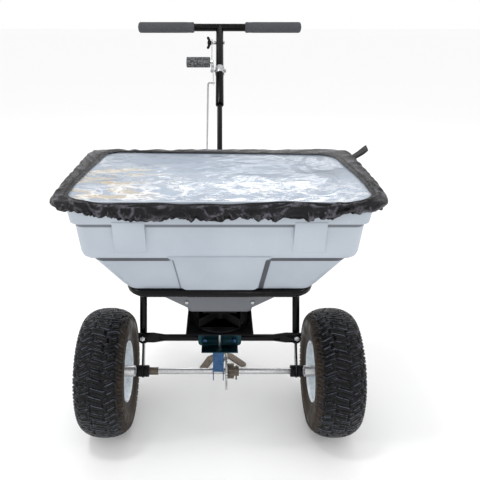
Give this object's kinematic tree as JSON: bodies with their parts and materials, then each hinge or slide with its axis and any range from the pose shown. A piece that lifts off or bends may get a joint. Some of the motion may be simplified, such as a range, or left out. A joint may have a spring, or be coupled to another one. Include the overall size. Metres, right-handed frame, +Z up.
{
  "type": "walk-behind broadcast spreader",
  "caption": "Push broadcast spreader: pale hopper with clear-topped rain cover, tube frame on two turf tyres, geared spinner in a shroud, T handle with shutter lever.",
  "frame": {"origin": "on the ground, under the middle of the object's bounding box", "axes": "+Z up; +Y toward the handle, the way the user stands; the front of the spreader faces -Y; X along the axle"},
  "size_m": [0.744, 1.0333, 0.9984],
  "materials": {
    "hopper_plastic": "matt moulded polyethylene",
    "clear_film": "clear flexible film",
    "nylon_cloth": "coated woven nylon",
    "black_gloss_paint": "gloss powder coat",
    "foam": "closed-cell foam",
    "grip_rubber": "textured rubber",
    "black_plastic": "satin",
    "zinc": "bright zinc plate",
    "worn_steel": "dull, slightly brown",
    "blue_steel": "blue passivated",
    "teal_steel": "dark blue-green passivated",
    "tyre_rubber": "matt black",
    "white_paint": "satin white"
  },
  "bodies": {
    "frame": {"hopper": "hopper_plastic", "cradle_loop": "black_gloss_paint", "leg_left": "black_gloss_paint", "leg_right": "black_gloss_paint", "cross_brace": "black_gloss_paint", "rear_bracket": "black_gloss_paint", "stand_leg": "black_gloss_paint", "stand_stay": "black_gloss_paint", "handle_post": "black_gloss_paint", "handle_lower_tube": "black_gloss_paint", "t_bar": "black_gloss_paint", "grip_left": "foam", "grip_right": "foam", "axle_bush_left": "black_plastic", "axle_bush_right": "black_plastic", "spinner_shroud": "black_plastic", "shutter_guide": "black_plastic", "lever_clamp": "zinc", "lever_bolt": "zinc", "stop_bolt": "zinc", "brace_bolt_left": "zinc", "brace_bolt_right": "zinc", "handle_bolt": "zinc", "hopper_screw_left": "zinc", "hopper_screw_right": "zinc", "stand_foot": "worn_steel", "gear_housing": "blue_steel", "hanger_bolt_left": "blue_steel", "hanger_bolt_right": "blue_steel", "gear_hanger": "teal_steel"},
    "drive": {"axle": "zinc", "ring_gear": "zinc", "gear_collar": "worn_steel", "collar_pin": "worn_steel", "axle_sleeve": "worn_steel", "wheel_hub_left": "zinc", "rim_left": "white_paint", "tyre_left": "tyre_rubber", "valve_left": "black_plastic", "drive_pin": "zinc", "axle_washer": "zinc", "axle_cotter": "zinc"},
    "free_wheel": {"wheel_hub_right": "zinc", "rim_right": "white_paint", "tyre_right": "tyre_rubber", "valve_right": "black_plastic"},
    "spinner": {"spinner_shaft": "zinc", "pinion_gear": "zinc", "spinner_disc": "black_plastic", "agitator": "zinc"},
    "lever": {"control_lever": "zinc", "lever_grip": "grip_rubber"},
    "link": {"slotted_link": "zinc"},
    "rod": {"control_rod": "zinc"},
    "crank": {"shutter_crank": "zinc"},
    "shutter": {"shutter_plate": "zinc"},
    "stop_nut": {"wing_nut": "black_plastic"},
    "cover": {"cover_border": "nylon_cloth", "cover_window": "clear_film", "pull_tab": "nylon_cloth"}
  },
  "joints": [
    {"name": "axle_spin", "type": "hinge", "parent": "frame", "child": "drive", "pos_m": [0, -0.31075, 0.165], "axis": [1, 0, 0], "continuous": true},
    {"name": "free_wheel_spin", "type": "hinge", "parent": "frame", "child": "free_wheel", "pos_m": [0.29, -0.31075, 0.165], "axis": [1, 0, 0], "continuous": true},
    {"name": "spinner_spin", "type": "hinge", "parent": "frame", "child": "spinner", "pos_m": [0, -0.31075, 0.33], "axis": [0, 0, 1], "continuous": true},
    {"name": "lever_swing", "type": "hinge", "parent": "frame", "child": "lever", "pos_m": [0, 0.33722, 0.85542], "axis": [-1, 0, 0], "range_deg": [0, 24]},
    {"name": "link_swing", "type": "hinge", "parent": "lever", "child": "link", "pos_m": [-0.0256, 0.31889, 0.87091], "axis": [1, 0, 0], "range_deg": [0, 23.6]},
    {"name": "rod_slide", "type": "slide", "parent": "frame", "child": "rod", "axis": [0, -0.7904, -0.6126], "range_m": [0, 0.0278]},
    {"name": "crank_swing", "type": "hinge", "parent": "frame", "child": "crank", "pos_m": [-0.032, -0.18575, 0.4425], "axis": [-1, 0, 0], "range_deg": [0, 26.6]},
    {"name": "shutter_slide", "type": "slide", "parent": "frame", "child": "shutter", "axis": [0, -1, 0], "range_m": [0, 0.0298]},
    {"name": "wing_nut_turn", "type": "hinge", "parent": "frame", "child": "stop_nut", "pos_m": [-0.0256, 0.43997, 0.93505], "axis": [-1, 0, 0], "continuous": true},
    {"name": "cover_lift", "type": "slide", "parent": "frame", "child": "cover", "axis": [0, 0, 1], "range_m": [0, 0.3]}
  ],
  "couplings": [
    {"joint": "spinner_spin", "follows": "axle_spin", "ratio": -3},
    {"joint": "link_swing", "follows": "lever_swing", "ratio": 0.968},
    {"joint": "rod_slide", "follows": "lever_swing", "m_per_rad": 0.066},
    {"joint": "crank_swing", "follows": "lever_swing", "ratio": 1.1},
    {"joint": "shutter_slide", "follows": "lever_swing", "m_per_rad": 0.07095}
  ]
}
